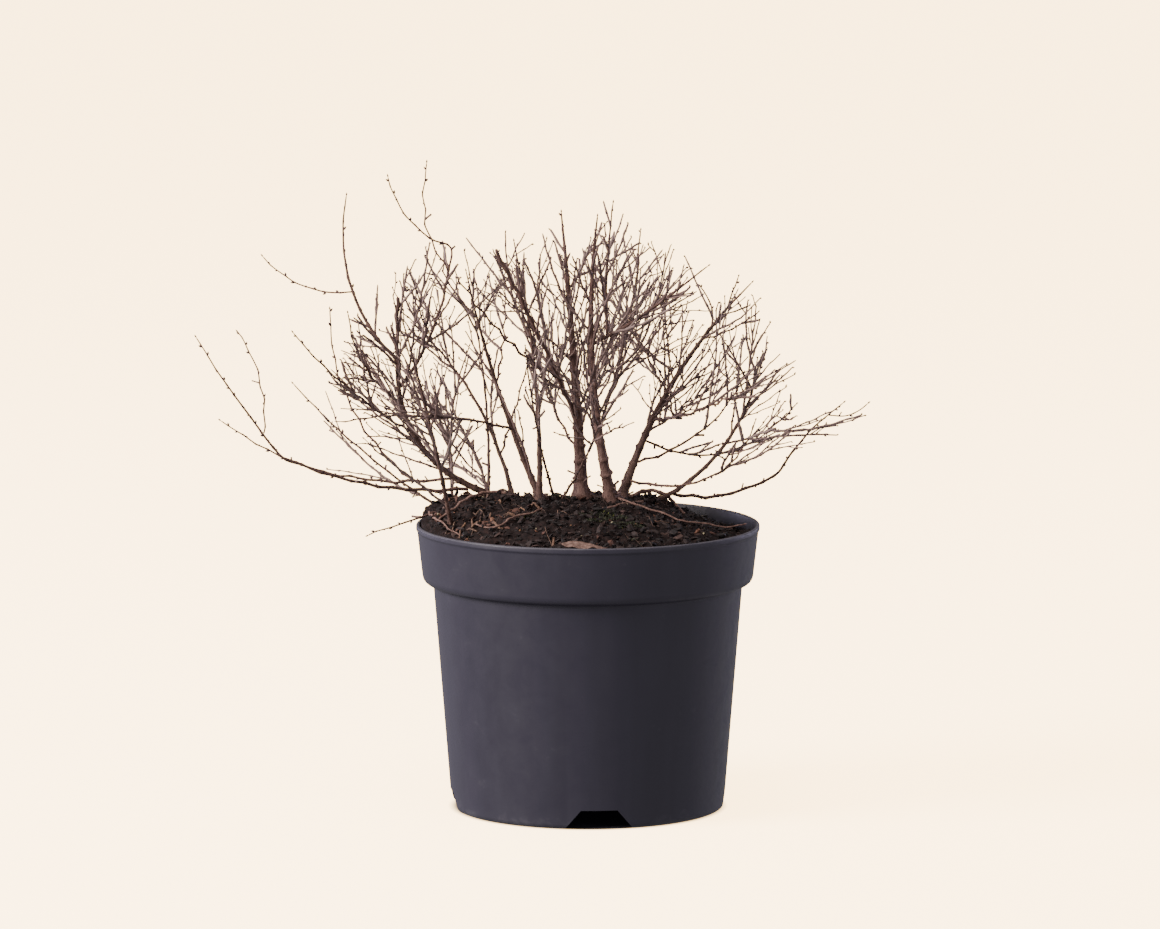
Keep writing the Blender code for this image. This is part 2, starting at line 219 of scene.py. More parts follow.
# The pot is a thin tub of black recycled polypropylene, injection moulded in one shot: a tapered wall that
# steps out into a tall rim band, a raised floor with drain holes, and a foot ring cut by four notches.
# Outlines are (radius, height, rounding) in millimetres, as moulded.
POT_SIDES = 240
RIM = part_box("pot")[1].x / MM
POT_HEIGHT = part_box("pot")[1].z / MM
BAND_FOOT = POT_HEIGHT - 36.8
SHOULDER = 99.0
FOOT = 88.0
WALL = 1.8
FLOOR_TOP = 15.0
FLOOR_UNDERSIDE = 13.0
CENTRE_FOOT = 12.0
NOTCH_AZIMUTH = -85.3
NOTCHES = 4
NOTCH_HEIGHT = 12.4
NOTCH_TOP = 23.2
NOTCH_SPREAD = 10.4 / NOTCH_HEIGHT
NOTCH_INWARD = 26
NOTCH_OUTWARD = 8
WEDGE_FACES = ((3, 2, 1, 0), (4, 5, 6, 7), (1, 5, 4, 0), (2, 6, 5, 1), (3, 7, 6, 2), (0, 4, 7, 3))
DRAIN_HOLE = 6.0
DRAIN_CIRCLE = 66.0
DRAIN_SIDES = 36
CUT_PAST = 2
SHARP_EDGE = 32
POT_COLOURS = ("#2B2834", "#2F2C38")
POT_DUST_AND_HIGHLIGHT_COLOUR = "#8B8789"
POT_INSIDE_COLOUR = "#1D1A1F"
POT_GRAIN = 0.45
POT_FLOW = 14.0
RIM_HIGHLIGHT_BAND = 1.0
DUSTY_FOOT = 16.0

pot_outline = [
    (0.5, 0, 0), (CENTRE_FOOT, 0, 0.6), (CENTRE_FOOT + 6, FLOOR_UNDERSIDE, 2),
    (FOOT - 2.6, FLOOR_UNDERSIDE, 0.5), (FOOT - 2.8, 2.5, 0.4), (FOOT - 9, 2.5, 0.4), (FOOT - 9, 0, 0.5),
    (FOOT - 0.6, 0, 3.4), (SHOULDER, BAND_FOOT - 1.2, 1.4), (SHOULDER + 6.6, BAND_FOOT + 0.6, 4.2),
    (RIM - 0.75, POT_HEIGHT - 4.2, 0.6), (RIM, POT_HEIGHT - 3.2, 0.5), (RIM, POT_HEIGHT, 1.1),
    (RIM - 2.4, POT_HEIGHT, 0.7), (RIM - 2.8, POT_HEIGHT - 7, 1), (SHOULDER + 6.3, BAND_FOOT + 6, 3),
    (SHOULDER - 1.4, BAND_FOOT + 1, 1.5), (FOOT - WALL - 0.2, FLOOR_TOP, 3),
    (CENTRE_FOOT + 4.2, FLOOR_TOP, 2), (CENTRE_FOOT - WALL, 2, 1), (0.5, 2, 0),
]


def rounded(corners, steps=6):
    """An outline's points, with each corner (radius, height, rounding) turned by a short arc."""
    made = []
    for i, (radius, height, size) in enumerate(corners):
        here = np.array((radius, height), float)
        if size == 0:
            made.append(tuple(here))
            continue
        ways = [np.array(corners[k][:2], float) - here for k in (i - 1, i + 1)]
        back, on = (way / np.linalg.norm(way) * min(size, np.linalg.norm(way) * 0.45) for way in ways)
        for t in np.linspace(0, 1, steps):
            made.append(tuple(here + back * (1 - t) ** 2 + on * t * t))
    return made


def mottling(material, place, size, detail, roughness):
    """Noise from 0 to 1 over a material's place, in patches of a size in millimetres."""
    return add_node(material, "TexNoise", {
        "Vector": place, "Scale": 1 / (size * MM), "Detail": detail, "Roughness": roughness,
    }).outputs["Fac"]


def cut(piece, points, faces):
    """Cuts a closed shape out of a piece."""
    cutter = add_piece("cutter", points, faces, [])
    step = piece.modifiers.new("cut", "BOOLEAN")
    step.operation = "DIFFERENCE"
    step.solver = "EXACT"
    step.object = cutter
    evaluated = piece.evaluated_get(bpy.context.evaluated_depsgraph_get())
    piece.data = bpy.data.meshes.new_from_object(evaluated)
    piece.modifiers.clear()
    bpy.data.objects.remove(cutter)


# Black polypropylene from a satin-etched mould: a soft sheen at the edges, a fine grain, faint upright flow
# marks, and pale scuffs and dust, thickest round the foot. A pale band along the rim's top edge is a painted
# highlight, in the dust's colour. Surfaces that face the pot's axis, such as the inner wall, are darker.
polypropylene = new_material("moulded_polypropylene", IOR=1.49, Metallic=0.0, Specular_IOR_Level=0.5)
place = add_node(polypropylene, "TexCoord").outputs["Object"]
heights = add_node(polypropylene, "SeparateXYZ", {"Vector": place}).outputs["Z"]
near_foot = add_node(polypropylene, "MapRange", {
    "Value": heights, "From Min": 0.0, "From Max": DUSTY_FOOT * MM, "To Min": 0.2, "To Max": 0.0,
}).outputs["Result"]
dust_cloud = add_node(polypropylene, "TexNoise", {
    "Vector": place, "Scale": 55.0, "Detail": 8.0, "Roughness": 0.68, "Distortion": 0.4,
}).outputs["Fac"]
# A pale band along the rim's top edge: a painted highlight, mixed in with the dust.
rim_highlight = add_node(polypropylene, "MapRange", {
    "Value": heights, "From Min": (POT_HEIGHT - RIM_HIGHLIGHT_BAND) * MM, "From Max": (POT_HEIGHT - 0.3) * MM,
    "To Min": 0.0, "To Max": 0.36,
}).outputs["Result"]
foot_dust_and_rim_highlight = add_node(polypropylene, "Math", {0: near_foot, 1: rim_highlight}, operation="ADD").outputs[0]
dust_and_highlight = add_node(polypropylene, "Math", {0: dust_cloud, 1: foot_dust_and_rim_highlight}, operation="ADD").outputs[0]
dust_and_highlight_ramp = add_node(polypropylene, "ValToRGB", {"Fac": dust_and_highlight}, [(0.64, "#000000"), (0.9, "#6A6A6A")])
stretch = add_node(polypropylene, "Mapping", {"Vector": place, "Scale": (1.0, 1.0, 0.06)}).outputs[0]
flow = mottling(polypropylene, stretch, POT_FLOW, 3.0, 0.5)
flow_ramp = add_node(polypropylene, "ValToRGB", {"Fac": flow}, [
    (0.3, POT_COLOURS[0]), (0.7, POT_COLOURS[1]),
])
dusted_and_highlit = add_node(polypropylene, "Mix", {
    0: dust_and_highlight_ramp.outputs["Color"], 6: flow_ramp.outputs["Color"], 7: linear(POT_DUST_AND_HIGHLIGHT_COLOUR),
}, data_type="RGBA").outputs[2]
# Surfaces that face the pot's axis take a darker colour.
level = add_node(polypropylene, "VectorMath", {0: place, 1: (1, 1, 0)}, operation="MULTIPLY").outputs[0]
facing = add_node(polypropylene, "TexCoord").outputs["Normal"]
outwards = add_node(polypropylene, "VectorMath", {
    0: level, 1: facing,
}, operation="DOT_PRODUCT").outputs["Value"]
inside = add_node(polypropylene, "Math", {0: outwards, 1: -0.01}, operation="LESS_THAN").outputs[0]
mixed = add_node(polypropylene, "Mix", {
    0: inside, 6: dusted_and_highlit, 7: linear(POT_INSIDE_COLOUR),
}, data_type="RGBA").outputs[2]
rough = add_node(polypropylene, "MapRange", {
    "Value": dust_and_highlight, "From Min": 0.35, "From Max": 0.8, "To Min": 0.40, "To Max": 0.62,
}).outputs["Result"]
grain = mottling(polypropylene, place, POT_GRAIN, 2.0, 0.5)
bump = add_node(polypropylene, "Bump", {
    "Height": grain, "Strength": 0.18, "Distance": 0.05 * MM,
}).outputs["Normal"]
ripple = add_node(polypropylene, "Bump", {
    "Height": flow, "Strength": 0.05, "Distance": 0.6 * MM, "Normal": bump,
}).outputs["Normal"]
wire(polypropylene, Base_Color=mixed, Roughness=rough, Normal=ripple)

pot = add_piece("nursery_pot", *lathe(rounded(pot_outline), POT_SIDES), [polypropylene])
for i in range(NOTCHES):
    turn = math.radians(NOTCH_AZIMUTH + 360 * i / NOTCHES)
    out = np.array((math.cos(turn), math.sin(turn), 0))
    across = np.array((-out[1], out[0], 0))
    foot_half = NOTCH_TOP / 2 + NOTCH_SPREAD * (NOTCH_HEIGHT + CUT_PAST)
    wedge = [
        (-foot_half, -CUT_PAST), (foot_half, -CUT_PAST),
        (NOTCH_TOP / 2, NOTCH_HEIGHT), (-NOTCH_TOP / 2, NOTCH_HEIGHT),
    ]
    points = [
        out * away + across * side + np.array((0, 0, z))
        for away in (FOOT - NOTCH_INWARD, FOOT + NOTCH_OUTWARD) for side, z in wedge
    ]
    cut(pot, points, WEDGE_FACES)
    plug, plug_faces = lathe([
        (DRAIN_HOLE, FLOOR_UNDERSIDE - CUT_PAST), (DRAIN_HOLE, FLOOR_TOP + CUT_PAST),
    ], DRAIN_SIDES)
    cut(pot, [np.array(p) + out * DRAIN_CIRCLE for p in plug], plug_faces)
pot.data.shade_smooth()
pot.data.set_sharp_from_angle(angle=math.radians(SHARP_EDGE))
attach(pot, "root")
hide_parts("pot")


# The root ball is moist potting bark packed into the pot and mounded round the stems, heaped to the rim at
# the left. Its top is broken into lumps and hollows, under a loose litter of chips and crumbs.
SOIL_COLOURS = ("#0F0909", "#1B1211", "#2B1C19")
MOUND_CENTRE = (-17.0, 2.0)
MOUND_RADIUS = 114.0
MOUND_RISE = 27.0
SOIL_EDGE = 174.0
SOIL_RADIUS = RIM - 3.2
SOIL_RINGS = 105
SOIL_SIDES = 260
# A heap is its place across and deep, its rise and its spread in millimetres. A hollow's rise is negative.
HEAPS = (
    (-92, 22, 8.0, 20), (-88, -22, 3.5, 16), (42, 30, 5.0, 18), (72, 10, -2.0, 20),
    (-15, 45, -4.5, 42), (-56, 16, 3.5, 13),
)
LUMP_SIZES = ((14.0, 5.0), (6.0, 4.4), (2.8, 2.4))
LUMP_LEVEL = 0.28


def soil_height(x, y):
    """Height of the soil at a point in plan, all in millimetres."""
    from_middle = ((x - MOUND_CENTRE[0]) ** 2 + (y - MOUND_CENTRE[1]) ** 2) / MOUND_RADIUS**2
    height = SOIL_EDGE + MOUND_RISE * max(0.0, 1 - from_middle)
    for heap_x, heap_y, rise, spread in HEAPS:
        height += rise * math.exp(-((x - heap_x) ** 2 + (y - heap_y) ** 2) / spread**2)
    for size, rise in LUMP_SIZES:
        height += rise * (abs(noise.noise((x / size, y / size, size))) - LUMP_LEVEL)
    return height


def fine_noise_material(name, colours, grain_size, roughness, bump_height, **values):
    """A dull natural surface: three shades mottled at a grain size in millimetres, with a fine bump."""
    made = new_material(name, Roughness=roughness, IOR=1.45, **values)
    place = add_node(made, "TexCoord").outputs["Object"]
    mottle = mottling(made, place, grain_size, 5.0, 0.62)
    shades = add_node(made, "ValToRGB", {"Fac": mottle}, [
        (0.32, colours[0]), (0.7, colours[2]), (0.5, colours[1]),
    ])
    bump = add_node(made, "Bump", {"Height": mottle, "Strength": 0.6, "Distance": bump_height * MM})
    wire(made, Base_Color=shades.outputs["Color"], Normal=bump.outputs["Normal"])
    return made


# Moist composted bark is near black with brown flecks, and rough, with hardly any sheen.
potting_bark = fine_noise_material("potting_bark", SOIL_COLOURS, 2.5, 0.92, 0.9, Specular_IOR_Level=0.25)

soil_outline = [
    (0.5, FLOOR_TOP + 0.6), (FOOT - WALL - 3, FLOOR_TOP + 0.6), (SHOULDER - WALL - 0.8, BAND_FOOT - 1),
    (SHOULDER + 5.5, BAND_FOOT + 7), (SOIL_RADIUS, SOIL_EDGE - 4),
]
first_top = len(soil_outline) * SOIL_SIDES
soil_outline += [(SOIL_RADIUS * (1 - row / SOIL_RINGS), 0) for row in range(SOIL_RINGS)]
soil_outline.append((0.3, 0))
soil_points, soil_faces = lathe(soil_outline, SOIL_SIDES)
for i in range(first_top, len(soil_points)):
    x, y, _ = soil_points[i]
    soil_points[i] = (x, y, soil_height(x, y))
soil = add_piece("soil", soil_points, soil_faces, [potting_bark])
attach(soil, "root")
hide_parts("root_ball")


# The litter on the soil: chips and crumbs of bark, a few pale specks, root fibres and snapped twigs, all
# lying loose on the mound. Each kind is one joined mesh, with a few shades dealt out at random. The chips
# vary more in shade, towards brown, at the left.
LITTER_SEED = 11
CHIPS = 5600
CHIP_SIZE = 1.05
CHIP_SPREAD = (0.2, 0.5)
LARGEST_CHIP = 4.4
CHIP_TILT = 62
BROWNER_LEFT_OF = -45
BROWNER_VARIETY = 1.9
CHIP_VARIETY = 1.4
SPECKS = 70
FIBRES = 80
SNAPPED_TWIGS = 22
CHIP_COLOURS = ("#110A0A", "#1E1312", "#301F1B", "#4A2F27", "#6A4636")
CHIP_FLECKS = ("#2E1F1C", "#38251F", "#4A3229", "#664637", "#866049")
SPECK_COLOURS = ("#8F8468", "#6E6650", "#7D5A3E")
FIBRE_COLOURS = ("#4F3A30", "#6B5244", "#3A2A23")
SNAPPED_COLOURS = ("#4E3A32", "#664A3C", "#7A5A46")
CUT_BACK_ACROSS = (-72, 11)
CUT_BACK_DEEP = (-48, 9)


class Pile:
    """Many small shapes, gathered as the points, faces and material numbers of one mesh."""

    def __init__(self):
        self.points = []
        self.faces = []
        self.kinds = []
        self.count = 0

    def add(self, points, faces, kind=0):
        start = self.count
        self.points.append(np.asarray(points, float))
        self.faces += [tuple(start + i for i in face) for face in faces]
        self.kinds += [kind] * len(faces)
        self.count += len(points)

    def piece(self, name, materials, slot, smooth=True):
        made = add_piece(name, np.concatenate(self.points), self.faces, materials, self.kinds, smooth)
        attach(made, "root")
        return made


def unit(vector):
    return vector / max(np.linalg.norm(vector), 1e-9)


def random_unit(rng):
    return unit(np.array([rng.gauss(0, 1) for _ in range(3)]))


def crumb_shape():
    """Corners and faces of a twenty-sided lump of radius 1."""
    long = (1 + math.sqrt(5)) / 2
    corners = [(0, a, b * long) for a in (-1, 1) for b in (-1, 1)]
    corners = [c[i:] + c[:i] for i in range(3) for c in corners]
    corners = [unit(np.array(c)) for c in corners]
    near = [
        [j for j in range(12) if 0.1 < np.linalg.norm(corners[i] - corners[j]) < 1.1] for i in range(12)
    ]
    faces = set()
    for i in range(12):
        for j in near[i]:
            for k in near[i]:
                if k in near[j] and i < j < k:
                    facing = np.cross(corners[j] - corners[i], corners[k] - corners[i])
                    faces.add((i, k, j) if np.dot(facing, corners[i]) < 0 else (i, j, k))
    return np.array(corners), sorted(faces)


def spot_on_soil(rng, clear):
    """A random place on the soil, that far clear of the pot's wall."""
    turn = rng.uniform(0, 2 * math.pi)
    away = (SOIL_RADIUS - 1.5 - clear) * math.sqrt(rng.random())
    return away * math.cos(turn), away * math.sin(turn)


def turned_axes(rng, tilt):
    """Three axes for a piece lying on the soil: its upward one leans by up to a tilt in degrees."""
    lean = math.radians(rng.uniform(0, tilt))
    way = rng.uniform(0, 2 * math.pi)
    up = np.array((math.sin(lean) * math.cos(way), math.sin(lean) * math.sin(way), math.cos(lean)))
    side = unit(np.cross(up, random_unit(rng)))
    return np.array((side, np.cross(up, side), up))


def rings_along(line, radii, sides, relief=None):
    """A tube's points and faces round a line, with flat ends. Relief scales each point's reach."""
    line = np.asarray(line, float)
    count = len(line)
    headings = np.gradient(line, axis=0)
    headings /= np.maximum(np.linalg.norm(headings, axis=1), 1e-9)[:, None]
    turns = np.arange(sides) * 2 * math.pi / sides
    cosines, sines = np.cos(turns)[:, None], np.sin(turns)[:, None]
    side = unit(np.cross(headings[0], (0.31, 0.87, 0.38)))
    points = np.empty((count, sides, 3))
    for i, heading in enumerate(headings):
        side = unit(side - heading * side.dot(heading))
        round_it = cosines * side + sines * np.cross(heading, side)
        reach = radii[i] if relief is None else (radii[i] * relief[i])[:, None]
        points[i] = line[i] + round_it * reach
    low = np.arange(sides)
    high = (low + 1) % sides
    faces = []
    for i in range(count - 1):
        base = i * sides
        faces += [(base + a, base + b, base + sides + b, base + sides + a) for a, b in zip(low, high)]
    faces.append(tuple(range(sides))[::-1])
    faces.append(tuple(range((count - 1) * sides, count * sides)))
    return points.reshape(-1, 3), faces


def line_on_soil(rng, x, y, length, bend, lift, steps=8):
    """Points of a thin bit that lies over the soil's lumps, and turns back from the pot's wall."""
    turn = rng.uniform(0, 2 * math.pi)
    curl = rng.gauss(0, bend)
    line = []
    for step in range(steps + 1):
        arch = math.sin(math.pi * step / steps) * lift
        line.append((x, y, soil_height(x, y) + 0.5 + arch))
        turn += curl + rng.gauss(0, bend * 0.7)
        if math.hypot(x + 4 * math.cos(turn), y + 4 * math.sin(turn)) > SOIL_RADIUS - 4:
            turn = math.atan2(-y, -x) + rng.uniform(-1, 1)
        x += math.cos(turn) * length / steps
        y += math.sin(turn) * length / steps
    return line


def plain_shades(name, codes, roughness):
    """A plain material for each colour of things too small to show a grain."""
    return [
        new_material(f"{name}_{i}", Base_Color=linear(code), Roughness=roughness)
        for i, code in enumerate(codes)
    ]


crumb_corners, crumb_faces = crumb_shape()
rng = random.Random(LITTER_SEED)
chips = Pile()
for _ in range(CHIPS):
    size = min(LARGEST_CHIP, CHIP_SIZE * math.exp(rng.gauss(*CHIP_SPREAD)))
    x, y = spot_on_soil(rng, size)
    shape = np.array((size, size * rng.uniform(0.35, 0.75), size * rng.uniform(0.14, 0.42)))
    corners = crumb_corners * np.array([[rng.uniform(0.66, 1.3)] for _ in crumb_corners]) * shape
    lift = soil_height(x, y) + shape[2] * rng.uniform(0.0, 1.6)
    variety = BROWNER_VARIETY if x < BROWNER_LEFT_OF else CHIP_VARIETY
    kind = min(len(CHIP_COLOURS) - 1, int(abs(rng.gauss(0, variety))))
    chips.add(corners @ turned_axes(rng, CHIP_TILT) + (x, y, lift), crumb_faces, kind)
# Moist bark chips: near black to brown, with paler flecks and a faint gleam.
chips.piece("bark_chips", [
    fine_noise_material(f"bark_chip_{i}", (code, code, fleck), 1.0, 0.75, 0.3, Specular_IOR_Level=0.45)
    for i, (code, fleck) in enumerate(zip(CHIP_COLOURS, CHIP_FLECKS))
], "soil", smooth=False)

specks = Pile()
for _ in range(SPECKS):
    size = rng.uniform(0.35, 0.95)
    x, y = spot_on_soil(rng, size)
    corners = crumb_corners * np.array([[rng.uniform(0.6, 1.3)] for _ in crumb_corners]) * size
    place = (x, y, soil_height(x, y) + size)
    specks.add(corners @ turned_axes(rng, 90) + place, crumb_faces, rng.randrange(3))
# Bare wood is pale and matt, and dry roots are a dull brown.
specks.piece("pale_specks", plain_shades("wood_fleck", SPECK_COLOURS, 0.85), "soil", smooth=False)

fibres = Pile()
for _ in range(FIBRES):
    x, y = spot_on_soil(rng, 6)
    line = line_on_soil(rng, x, y, rng.uniform(6, 26), 0.16, rng.uniform(0.3, 2.0))
    girth = rng.uniform(0.12, 0.28)
    fibres.add(*rings_along(line, [girth] * 8 + [girth / 2], 5), rng.randrange(3))
fibres.piece("root_fibres", plain_shades("dry_root", FIBRE_COLOURS, 0.8), "soil")

# Every second snapped twig lies at the front left, where the bush was cut back. The dead wood is grey-brown
# and mottled, paler where it's worn.
snapped = Pile()
for i in range(SNAPPED_TWIGS):
    x, y = spot_on_soil(rng, 16)
    if i % 2:
        x, y = rng.gauss(*CUT_BACK_ACROSS), rng.gauss(*CUT_BACK_DEEP)
    line = line_on_soil(rng, x, y, rng.uniform(5, 15), 0.02, rng.uniform(0.2, 1.0))
    girth = rng.uniform(0.4, 0.95)
    relief = np.array([[rng.uniform(0.85, 1.15) for _ in range(8)] for _ in line])
    snapped.add(*rings_along(line, [girth] * len(line), 8, relief), rng.randrange(3))
snapped.piece("snapped_twigs", [
    fine_noise_material(f"dead_twig_{i}", ("#33251F", code, "#8E7058"), 0.9, 0.75, 0.1)
    for i, code in enumerate(SNAPPED_COLOURS)
], "soil")


# Moss has crept over the soil round the foot of the trunks: low tufts of tiny pointed leaves, dull olive
# with a few yellow-green ones.
MOSS_SEED = 5
# A patch is its place across and deep and its spread in millimetres, and its number of tufts.
MOSS_PATCHES = ((10, -46, 11, 34), (24, -52, 9, 26), (-40, -42, 8, 9), (-22, -6, 10, 12), (32, -79, 2.5, 3))
MOSS_COLOURS = ("#26291A", "#3A3E20", "#70742E")
LEAVES_IN_TUFT = 26
MOSS_LEAF_FACES = ((0, 2, 1), (1, 2, 4), (0, 1, 3), (0, 3, 2), (4, 3, 1), (4, 2, 3))

rng = random.Random(MOSS_SEED)
moss = Pile()
for patch_x, patch_y, spread, tufts in MOSS_PATCHES:
    for _ in range(tufts):
        x, y = rng.gauss(patch_x, spread * 0.6), rng.gauss(patch_y, spread * 0.6)
        foot = np.array((x, y, soil_height(x, y) + 0.3))
        for _ in range(LEAVES_IN_TUFT):
            way = unit(np.array((rng.gauss(0, 0.7), rng.gauss(0, 0.7), 1)))
            long = rng.uniform(0.8, 2.2)
            side = unit(np.cross(way, random_unit(rng))) * rng.uniform(0.16, 0.3)
            root = foot + np.array((rng.gauss(0, 1.3), rng.gauss(0, 1.3), rng.uniform(-0.4, 0.4)))
            middle = root + way * long * 0.45
            keel = middle + np.cross(way, side) * 0.5
            leaf = [root, middle - side, middle + side, keel, root + way * long]
            moss.add(leaf, MOSS_LEAF_FACES, min(2, int(abs(rng.gauss(0, 0.8)))))
moss.piece("moss", plain_shades("moss", MOSS_COLOURS, 0.75), "soil", smooth=False)


# One dry leaf lies against the front of the rim, thin and brittle, leaning back on the soil with its edges
# curled up, pinkish brown.
LEAF_PLACE = (-2.0, -99.5, 183.4)
LEAF_LENGTH = 29.0
LEAF_WIDTH = 9.5
LEAF_LEAN = 0.34
LEAF_COLOURS = ("#3E2E2A", "#62493F", "#836960")
LEAF_THICKNESS = 0.22
LEAF_ROWS = 22
LEAF_COLUMNS = 11

leaf_points, leaf_faces = [], []
for side in (0, 1):
    for row in range(LEAF_ROWS):
        along = row / (LEAF_ROWS - 1)
        half = LEAF_WIDTH / 2 * math.sin(math.pi * (0.04 + 0.93 * along**0.66)) ** 1.2
        for column in range(LEAF_COLUMNS):
            across = column / (LEAF_COLUMNS - 1) * 2 - 1
            x = LEAF_PLACE[0] + (along - 0.5) * LEAF_LENGTH
            y = LEAF_PLACE[1] + across * half * 0.85 + 8 * (along - 0.5) ** 2
            z = LEAF_PLACE[2] + across * half * LEAF_LEAN + 0.9 * across * across + side * LEAF_THICKNESS
            rib = 0.35 * math.exp(-((across / 0.15) ** 2))
            z += 1.3 * noise.noise((x / 6, y / 6, 3.0)) - 2.6 * along**2 + rib
            leaf_points.append((x, y, z))
size = LEAF_ROWS * LEAF_COLUMNS
edge = []
for row in range(LEAF_ROWS - 1):
    for column in range(LEAF_COLUMNS - 1):
        a = row * LEAF_COLUMNS + column
        quad = (a, a + 1, a + LEAF_COLUMNS + 1, a + LEAF_COLUMNS)
        leaf_faces.append(quad)
        leaf_faces.append(tuple(size + i for i in quad[::-1]))
edge += range(LEAF_COLUMNS - 1)
edge += range(LEAF_COLUMNS - 1, size - 1, LEAF_COLUMNS)
edge += range(size - 1, size - LEAF_COLUMNS, -1)
edge += range(size - LEAF_COLUMNS, 0, -LEAF_COLUMNS)
for a, b in zip(edge, edge[1:] + edge[:1]):
    leaf_faces.append((b, a, size + a, size + b))
dry_leaf = add_piece("dry_leaf", leaf_points, leaf_faces, [
    fine_noise_material("dry_leaf_skin", LEAF_COLOURS, 2.2, 0.7, 0.2),
])
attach(dry_leaf, "root")


# The wood: stems and boughs of a few years' growth, round in section, with thin red-brown bark that is
# ridged along the limb, swollen at each old leaf scar and kinked there to the left and right in turn. Each
# limb follows its CAD node's middle line and thickness. A stem that bends far is two nodes, joined here.
UP = np.array((0.0, 0.0, 1.0))
PLANT_FOOT = np.array((0.0, 0.0, 180.0))
RING_GAP = 2.2
STEM_BURIED = 8.0
CARRIED_ON = {
    "stem_left_outer": "bough_left_top",
    "arch_low": "arch_low_tip",
    "bough_left_inward": "shoot_top_left",
    "stem_right_arch": "arch_right_hook",
    "spread_low": "spread_low_end",
}
# A pruned limb ends in a cut of about this radius. The others taper to a point.
PRUNED = {"bough_left_stub": 1.25, "bough_middle_left": 1.15, "bough_level_left": 0.8}
THIRDS = ("left", "middle", "right")
LEFT_OF = -70.0
RIGHT_OF = 45.0
STOUT = 1.5
STOUTEST = 2.4
FINEST = 0.34
UNDER_THE_SCARS = 0.86
KNOT_EVERY = 26
SCAR_SPACING = (8.0, 13.0)
TRUNK_BARK = ("#382722", "#614841", "#836960")
STEM_BARK = ("#32241F", "#543E37", "#745B51")
BOUGH_BARK = ("#35241F", "#563F38", "#70564D")


def middle_line(name):
    """The middle points and radii of a limb's rings, in millimetres from root to tip, off its CAD node."""
    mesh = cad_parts[name].data
    numbers = {}
    copies = [numbers.setdefault(tuple(round(c / MM, 3) for c in v.co), len(numbers)) for v in mesh.vertices]
    places = np.array(list(numbers))
    neighbours = [set() for _ in numbers]
    for edge in mesh.edges:
        a, b = (copies[i] for i in edge.vertices)
        neighbours[a].add(b)
        neighbours[b].add(a)
    one_end = places[np.argmax(np.linalg.norm(places - places.mean(0), axis=1))]
    other_end = places[np.argmax(np.linalg.norm(places - one_end, axis=1))]
    tip = max((one_end, other_end), key=lambda end: np.linalg.norm(end - PLANT_FOOT))
    travelled = np.where(np.linalg.norm(places - tip, axis=1) < 3.0, 0.0, np.inf)
    queue = [(0.0, int(i)) for i in np.flatnonzero(travelled == 0)]
    while queue:
        so_far, here = heapq.heappop(queue)
        for there in neighbours[here]:
            reached = so_far + float(np.linalg.norm(places[there] - places[here]))
            if reached < travelled[there] - 1e-6:
                travelled[there] = reached
                heapq.heappush(queue, (reached, there))
    order = np.argsort(travelled)
    breaks = np.flatnonzero(np.diff(travelled[order]) > RING_GAP) + 1
    rings = [places[group] for group in np.split(order, breaks)][::-1]
    centres = np.array([ring.mean(0) for ring in rings])
    radii = np.array([np.median(np.linalg.norm(r - c, axis=1)) for r, c in zip(rings, centres)])
    return centres, radii


def smooth_line(points, radii, spacing):
    """The line and its radii again at an even spacing, curved through the same points."""
    steps = np.linalg.norm(np.diff(points, axis=0), axis=1)
    at = np.concatenate(([0], np.cumsum(steps)))
    slopes = np.gradient(points, at, axis=0)
    wanted = np.linspace(0, at[-1], max(3, int(at[-1] / spacing) + 1))
    cell = np.clip(np.searchsorted(at, wanted, side="right") - 1, 0, len(at) - 2)
    span = (at[cell + 1] - at[cell])[:, None]
    t = (wanted - at[cell])[:, None] / span
    line = (
        points[cell] * (1 + 2 * t) * (1 - t) ** 2 + slopes[cell] * span * t * (1 - t) ** 2
        + points[cell + 1] * t * t * (3 - 2 * t) - slopes[cell + 1] * span * t * t * (1 - t)
    )
    return line, np.interp(wanted, at, radii), wanted


